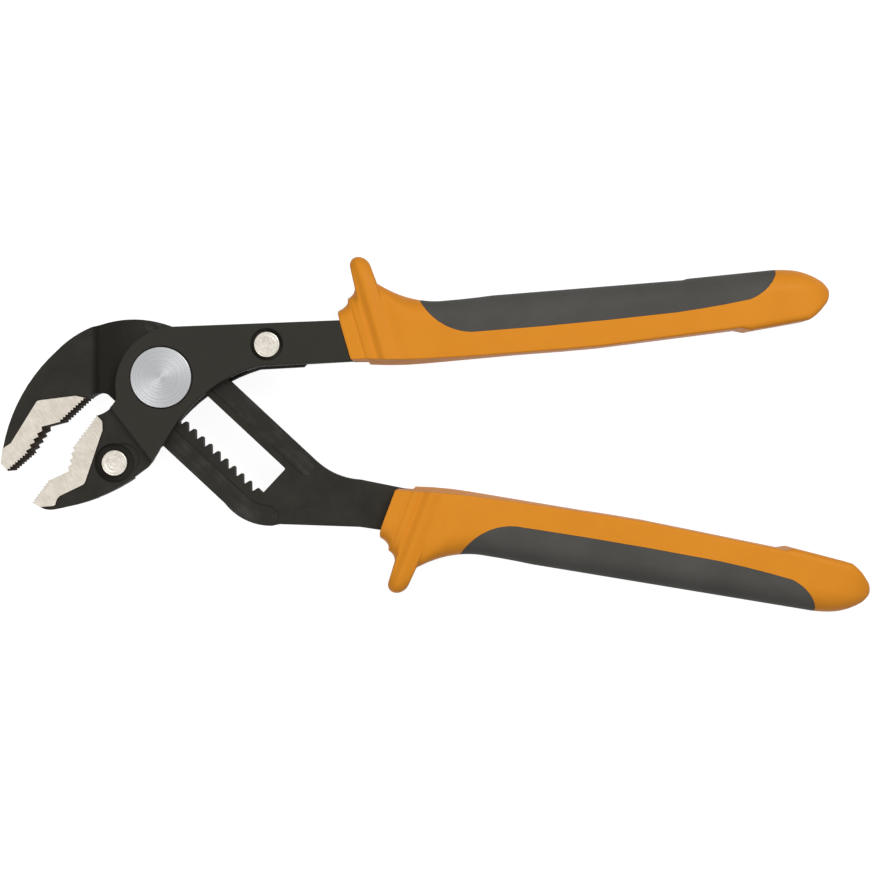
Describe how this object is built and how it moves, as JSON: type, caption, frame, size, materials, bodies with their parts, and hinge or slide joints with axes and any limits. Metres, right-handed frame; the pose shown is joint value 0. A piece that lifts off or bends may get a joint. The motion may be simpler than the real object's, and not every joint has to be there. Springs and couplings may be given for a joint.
{
  "type": "pipe pliers",
  "caption": "Adjustable pipe pliers with toothed angled jaws, a ratchet slot through the box joint, a round pivot and soft-insert handles.",
  "frame": {"origin": "on the pivot axis, on the outer face of the rear pivot disc", "axes": "+X from the jaws to the handles, +Y towards the upper handle, +Z along the pivot axis towards the front disc"},
  "size_m": [0.2504, 0.1027, 0.0182],
  "materials": {
    "black_steel": "blasted and blackened forged steel with bare ground pads on the jaws",
    "turned_steel": "face-turned bright steel",
    "rivet_steel": "nickel-toned turned rivet heads",
    "spring_steel": "plain hardened steel",
    "orange_plastic": "satin moulded hard plastic",
    "grey_soft_plastic": "matt soft-touch moulded insert"
  },
  "bodies": {
    "main": {"main_lever": "black_steel", "back_plate": "black_steel", "jaw_rivet": "rivet_steel", "shank_rivet": "rivet_steel", "upper_grip": "orange_plastic", "upper_grip_insert": "grey_soft_plastic"},
    "pivot": {"pivot_bolt": "turned_steel", "pivot_nut": "turned_steel", "pawl_spring_upper": "spring_steel", "pawl_spring_lower": "spring_steel"},
    "pawl": {"ratchet_pawl": "spring_steel"},
    "rack": {"rack_lever": "black_steel", "lower_grip": "orange_plastic", "lower_grip_insert": "grey_soft_plastic"}
  },
  "joints": [
    {"name": "jaw_hinge", "type": "hinge", "parent": "main", "child": "pivot", "pos_m": [0, 0, 0.0075], "axis": [0, 0, 1], "range_deg": [-35, 8]},
    {"name": "rack_slide", "type": "slide", "parent": "pivot", "child": "rack", "axis": [-0.7314, 0.682, 0], "range_m": [0, 0.03768]},
    {"name": "pawl_slide", "type": "slide", "parent": "pivot", "child": "pawl", "axis": [0.682, 0.7314, 0], "range_m": [0, 0.0021], "stiffness_N_per_m": 600, "springref_m": -0.003, "deforming": ["pawl_spring_upper", "pawl_spring_lower"]}
  ]
}
